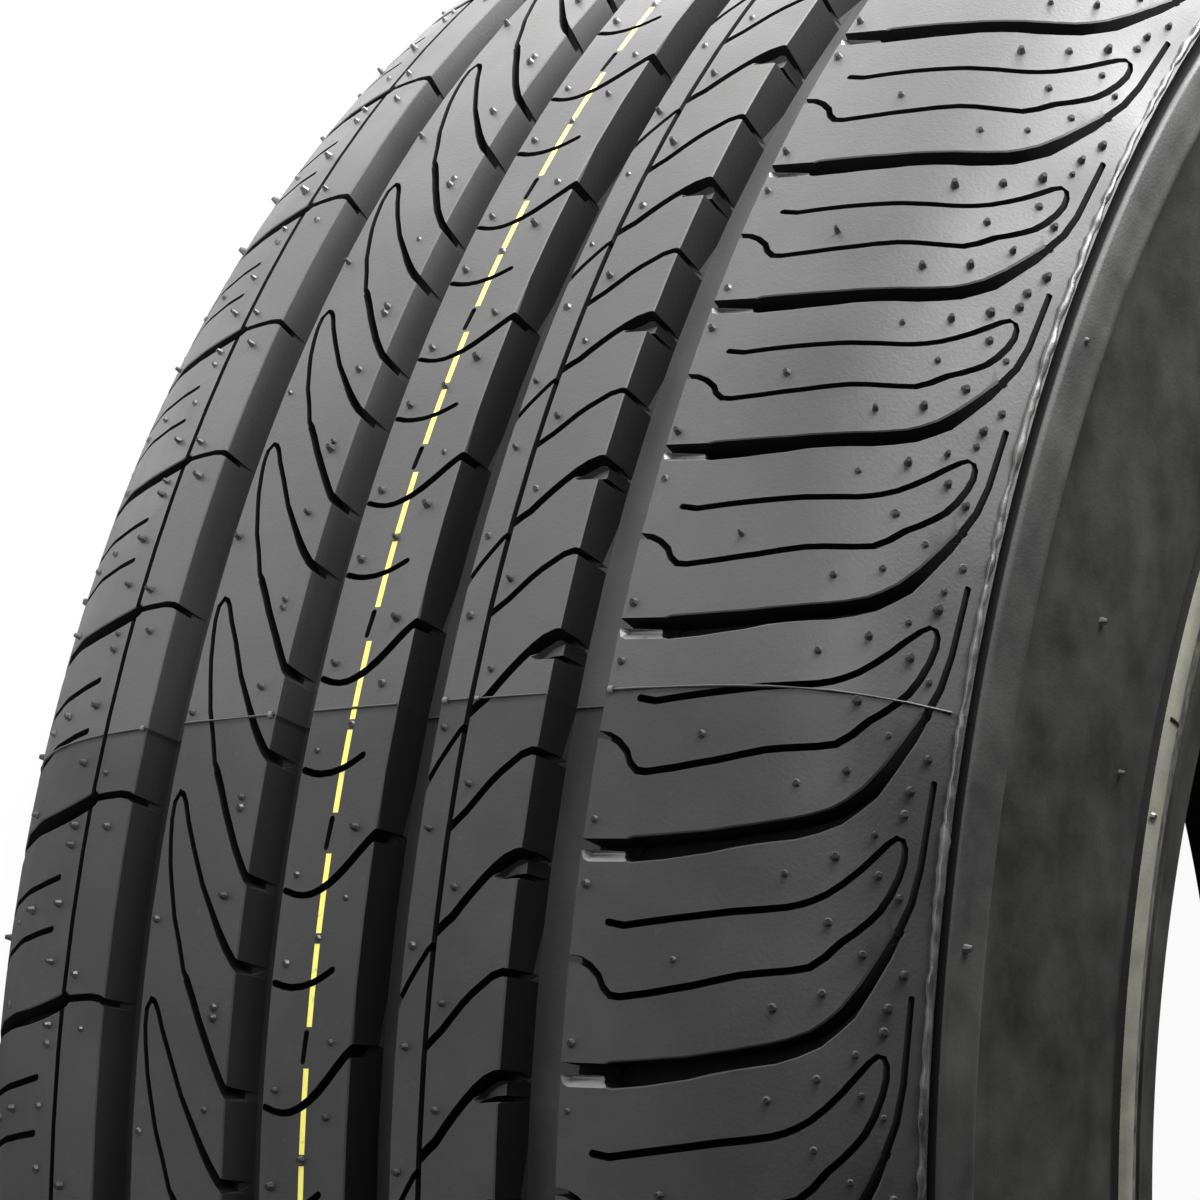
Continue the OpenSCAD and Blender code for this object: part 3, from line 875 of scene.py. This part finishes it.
# vent nubs
nubs = {
    "radius": 0.82, "tipShare": 0.55, "height": 1.15, "sides": 8, "sink": 0.1, "seed": 5,
    "thickness": (0.75, 1.2), "tallness": (0.35, 1.3),      # shares of the radius and height, least and most
    # place across, pitch number
    "perPitch": [
        (57.5, -.11), (57.5, .18), (76, .51), (93.5, .10), (93.5, .70), (100.5, 0), (100.5, .30),
        (100.5, .62), (105.3, -.12), (105.3, .43), (106.3, .06), (109, .15), (108.8, .66), (108.5, .77),
        (110.3, .5),
        (22.3, -.07), (21.8, .47), (29.7, .20), (29.6, .73), (-7, .14), (-7, .56), (0, .44), (5.3, -.08),
        (5.3, .25), (-40.5, .35), (-23.5, -.18), (-24, .24), (-23.5, .77), (-68.9, -.04), (-70.1, .254),
        (-80.9, .27), (-70.1, .548), (-68.8, .865), (-61.9, -.384), (-58.5, -.116), (-88, .32), (-88, .75),
        (-100, .35), (-106, .7)],
    # rows round each side, with the degrees of their first: mm below the tread edge, then radii
    "onBand": (6.8, -122.1),
    "onSides": [(269.4, -113.4), (253.6, -108.5), (240.0, -107.7)],
    "perRow": 16,
    "outerSide": 110,           # points of the casing further across than this are its outer side
}


# a point on the crown, lifted along its normal, and that normal
def onCrown(z, turn, lift):
    span = 0.1
    slope = (crownAt(z + span) - crownAt(z - span)) / (2 * span)
    n = Vector((1, 0, -slope)).normalized()
    r, along = crownAt(z) + lift * n.x, z + lift * n.z
    c, s = math.cos(math.radians(turn)), math.sin(math.radians(turn))
    return Vector((r * c, r * s, along)) * mm, Vector((n.x * c, n.x * s, n.z))


# nub places on one side of the casing, in rows round it
def onSide(side):
    section = sorted((r, abs(z)) for z, r, kind in casingSide(side) if abs(z) > nubs["outerSide"])
    below, bandStart = nubs["onBand"]
    found = []
    for r, first in [(crownAt(side * tread["edge"]) - below, bandStart)] + nubs["onSides"]:
        z = side * (np.interp(r, [p[0] for p in section], [p[1] for p in section]) - nubs["sink"])
        for k in range(nubs["perRow"]):
            turn = math.radians(first + k * 360 / nubs["perRow"])
            found.append((Vector((r * math.cos(turn), r * math.sin(turn), z)) * mm, Vector((0, 0, side))))
    return found


# points that carry a direction
def pointsObject(name, found):
    obj = meshObject(name, [p for p, n in found], [], [])
    outward = obj.data.attributes.new("outward", "FLOAT_VECTOR", "POINT")
    outward.data.foreach_set("vector", [c for p, n in found for c in n])
    return obj


spots = [onCrown(z, turnAt(k + p), -nubs["sink"]) for k in range(pitchCount) for z, p in nubs["perPitch"]]
spots += onSide(1) + onSide(-1)
ventNubs = pointsObject("ventNubs", spots)
setModifier(ventNubs, nubTree(), {
    "Radius": nubs["radius"] * mm, "Tip share": nubs["tipShare"], "Height": nubs["height"] * mm,
    "Sides": nubs["sides"], "Thinnest": nubs["thickness"][0], "Thickest": nubs["thickness"][1],
    "Lowest": nubs["tallness"][0], "Tallest": nubs["tallness"][1], "Seed": nubs["seed"],
    "Finish": nubRubber, "Tip shade": tipShadeRubber})
ventNubs = bakeTree(ventNubs, "ventNubs")
print("vent nubs:", len(spots))


# mould flash
flash = flashTree()


# lines of points, joined up as edges
def lineObject(name, lines, closed):
    points, edges = [], []
    for line in lines:
        first = len(points)
        points.extend(line)
        edges.extend((first + i, first + i + 1) for i in range(len(line) - 1))
        if closed:
            edges.append((first + len(line) - 1, first))
    return meshObject(name, points, edges, [])


# a bead of flash along lines of points
def makeFlash(name, lines, look, material, closed=False):
    obj = lineObject(name, lines, closed)
    setModifier(obj, flash, {
        "Radius": look["radius"] * mm, "Unevenness": look["unevenness"], "Grain size": look["grain"],
        "Sides": look["sides"], "Finish": material})
    return bakeTree(obj, name)


edgeFlash = {
    "radius": 0.75, "unevenness": 0.7, "grain": 190.0, "sides": 5,
    "place": 113.15, "below": 0.15,     # mm across, and below the tread edge
    "steps": 1120, "wander": 0.2, "seed": 12,
}
dice = random.Random(edgeFlash["seed"])
rings = []
for sign in (1, -1):
    line = []
    for i in range(edgeFlash["steps"]):
        t = 2 * math.pi * i / edgeFlash["steps"]
        r = crownAt(sign * tread["edge"]) - edgeFlash["below"] + dice.uniform(-1, 1) * edgeFlash["wander"]
        z = sign * (edgeFlash["place"] + dice.uniform(-1, 1) * edgeFlash["wander"])
        line.append((r * math.cos(t) * mm, r * math.sin(t) * mm, z * mm))
    rings.append(line)
lipFlash = makeFlash("lipFlash", rings, edgeFlash, flashRubber, closed=True)
lipFlash.data.shade_smooth()


# degrees of a parting line at a place across
def partingTurn(lap, z):
    lean = math.degrees((z - partingLine["midPlace"]) * partingLine["lean"])
    return turnAt(partingLine["pitch"] + perLap * lap) + lean


lines = []
for lap in range(pitches["repeats"]):
    for a, b, depth in partingLine["spans"]:
        steps = max(2, round((b - a) / partingLine["step"]))
        places = [a + (b - a) * i / steps for i in range(steps + 1)]
        lines.append([onCrown(z, partingTurn(lap, z), -depth - partingLine["sink"])[0] for z in places])
partingFlash = makeFlash("partingFlash", lines, partingLine, treadRubber)
partingFlash.data.shade_smooth()

# lumps where the parting line meets an edge
lumps = {
    "radius": 0.5, "unevenness": 0.8, "grain": 300.0, "sides": 7,
    "length": 0.9, "at": [-53.4, -20, 21, 28, 56.6],        # mm across
}
lines = [[onCrown(z + end * lumps["length"], partingTurn(lap, z), 0)[0] for end in (-0.5, 0.5)]
         for lap in range(pitches["repeats"]) for z in lumps["at"]]
# the lumps carry the painted highlight of the chamfer rubber
partingLumps = makeFlash("partingLumps", lines, lumps, chamferHighlightRubber)
partingLumps.data.shade_smooth()
print("flash made")

# a near-black bead across the protector rib, between two radii: painted shade of a fine cut
ribMark = {
    "radius": 0.4, "unevenness": 0.3, "grain": 300.0, "sides": 6,
    "degrees": -112.3, "between": (232, 240.5),
}
c, s = math.cos(math.radians(ribMark["degrees"])), math.sin(math.radians(ribMark["degrees"]))
low, high = ribMark["between"]
line = [(r * c * mm, r * s * mm, z * mm) for z, r in casing["lower"] if low < r < high]
ribCut = makeFlash("ribCut", [line], ribMark, shadeRubber)
print("rib cut made")

pieces = [treadBand, casingRing, ventNubs, lipFlash, partingFlash, partingLumps, ribCut]
for piece in pieces:
    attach(piece, "root")
    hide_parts("tyre")


# floor, light, camera
stage = {
    "floorAt": -0.1165, "floorSize": 8.0, "floorColour": (0.80, 0.80, 0.80, 1), "floorRough": 0.9,
    "glow": 1.06, "cameraWhite": 0.9,       # how much of the floor is its own glow, seen from the camera
    "sky": 0.105,
}


def floorMaterial():
    material, tree, shader = newMaterial("paleFloor")
    shader.inputs["Base Color"].default_value = stage["floorColour"]
    shader.inputs["Roughness"].default_value = stage["floorRough"]
    glow = addNode(tree, "ShaderNodeEmission", {"Color": (1, 1, 1, 1), "Strength": stage["glow"]})
    rays = addNode(tree, "ShaderNodeLightPath").outputs
    seen = math2(tree, "MULTIPLY", rays["Is Camera Ray"], stage["cameraWhite"])
    mix = addNode(tree, "ShaderNodeMixShader", {0: seen, 1: shader.outputs[0], 2: glow.outputs[0]})
    tree.links.new(mix.outputs[0], tree.nodes["Material Output"].inputs[0])
    return material


half = stage["floorSize"] / 2
corners = [(x * half, y * half, stage["floorAt"]) for x, y in ((-1, -1), (1, -1), (1, 1), (-1, 1))]
floor = meshObject("floor", corners, [], [(0, 1, 2, 3)])
floor.data.materials.append(floorMaterial())

world = bpy.data.worlds.new("studio")
scene.world = world
world.use_nodes = True
sky = world.node_tree
background = sky.nodes["Background"]
background.inputs["Color"].default_value = (1, 1, 1, 1)
rays = addNode(sky, "ShaderNodeLightPath").outputs
lit = math2(sky, "MAXIMUM", rays["Is Camera Ray"], rays["Is Transmission Ray"])
sky.links.new(rampBetween(sky, lit, 0, 1, stage["sky"], 1.0), background.inputs["Strength"])


def areaLight(name, place, target, size, watts):
    data = bpy.data.lights.new(name, "AREA")
    data.shape = "RECTANGLE"
    data.size, data.size_y = size
    data.energy = watts
    obj = bpy.data.objects.new(name, data)
    obj.location = place
    obj.rotation_euler = (Vector(target) - Vector(place)).to_track_quat("-Z", "Y").to_euler()
    obj.visible_camera = False
    scene.collection.objects.link(obj)


# place, target, size, watts
lamps = {
    "sideBox": ((-0.7, 0.15, 0.1), (-0.3, -0.1, 0.0), (0.4, 0.3), 16),
    "overBox": ((-0.72, -0.05, 0.48), (-0.25, -0.2, 0.1), (0.35, 0.3), 12),
    "leftBox": ((-0.70, -0.38, 0.28), (-0.25, -0.2, 0.05), (0.3, 0.3), 6),
    "frontBox": ((-0.50, -0.95, 0.36), (-0.1, -0.3, 0.05), (0.5, 0.3), 3.4),
    "backFill": ((1.0, 0.9, 0.7), (0, 0, 0), (0.9, 0.6), 14),
}
for name, lamp in lamps.items():
    areaLight(name, *lamp)

photoCamera = {
    "place": (-0.051, -0.855, 0.463),
    "right": (-0.0064, 0.5991, 0.8006),
    "up": (-0.9963, -0.0722, 0.0460),
    "focalPixels": 3933.0,
    "centre": (610.0, 599.0),   # pixels of the photograph
    "frame": 1200.0,
    "sensor": 36.0, "near": 0.01,
}
centre, width = photoCamera["centre"], photoCamera["frame"]
cameraData = bpy.data.cameras.new("photoView")
cameraData.sensor_width = photoCamera["sensor"]
cameraData.sensor_fit = "HORIZONTAL"
cameraData.lens = photoCamera["focalPixels"] / width * photoCamera["sensor"]
cameraData.shift_x = (width / 2 - centre[0]) / width
cameraData.shift_y = (centre[1] - width / 2) / width
cameraData.clip_start = photoCamera["near"]
camera = bpy.data.objects.new("photoView", cameraData)
right, up = Vector(photoCamera["right"]).normalized(), Vector(photoCamera["up"])
up = (up - right * up.dot(right)).normalized()
facing = Matrix((right, up, right.cross(up))).transposed().to_4x4()
camera.matrix_world = Matrix.Translation(photoCamera["place"]) @ facing
scene.collection.objects.link(camera)
scene.camera = camera
scene.view_settings.view_transform = "Standard"
print("stage and camera made")
